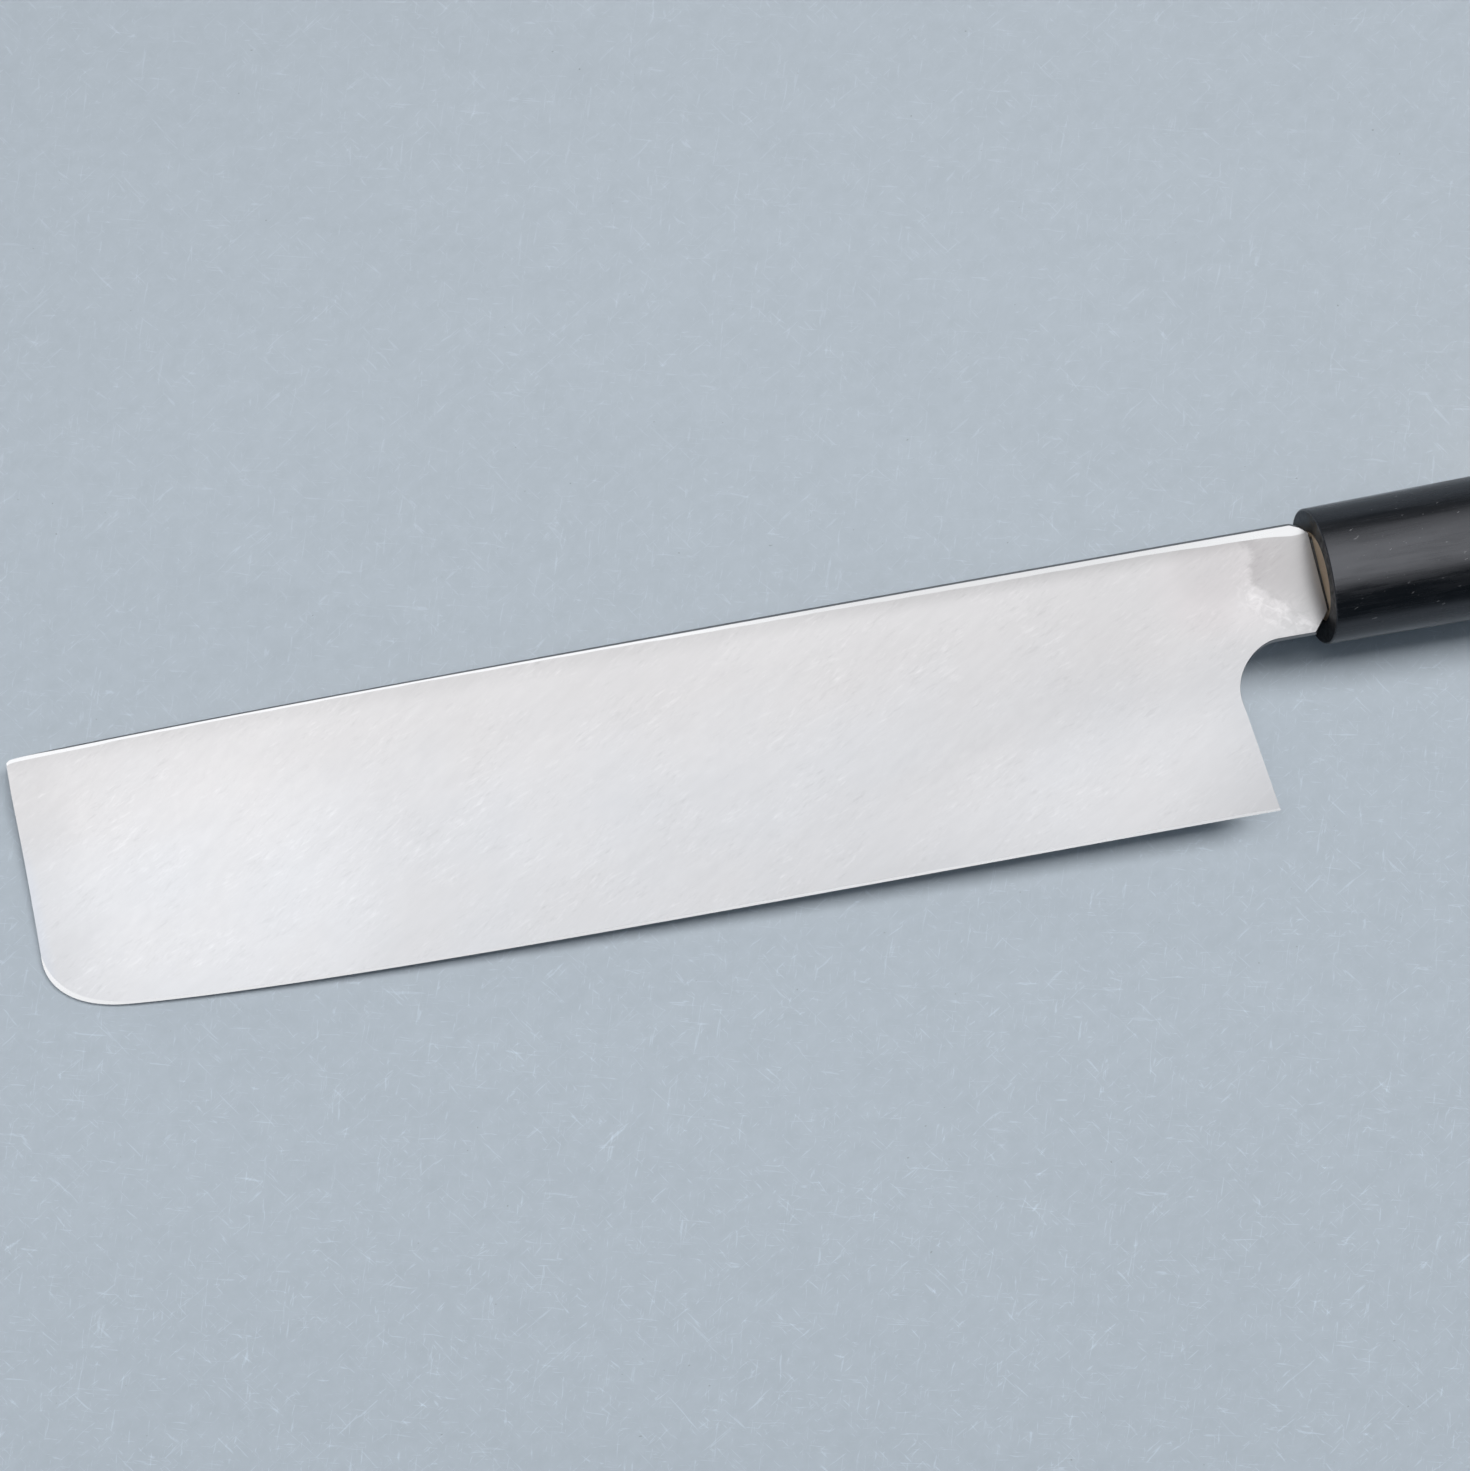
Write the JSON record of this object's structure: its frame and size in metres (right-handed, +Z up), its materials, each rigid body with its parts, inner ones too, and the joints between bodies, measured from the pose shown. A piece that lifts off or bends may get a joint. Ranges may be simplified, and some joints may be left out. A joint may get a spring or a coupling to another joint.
{
  "type": "usuba knife",
  "caption": "Single-bevel vegetable knife with a straight-edged, square-ended blade, a hollow-ground back, a round heel notch and an oval wooden handle with a black ferrule.",
  "frame": {"origin": "on the table under the middle of the knife's box, with the knife lying as it rests by itself: hollow back up, on the end of its bevel at the tip and on the front of its ferrule", "axes": "+X along the knife from the tip to the butt, +Y towards the spine, +Z up, out of the hollow back"},
  "size_m": [0.3316, 0.045, 0.0218],
  "materials": {
    "blade_steel": "fine diagonal grinding marks, satin",
    "ferrule_horn": "glossy black, lightly scratched",
    "handle_wood": "bare sanded magnolia"
  },
  "bodies": {
    "root": {"blade": "blade_steel", "ferrule": "ferrule_horn", "handle_wood": "handle_wood"}
  },
  "joints": []
}
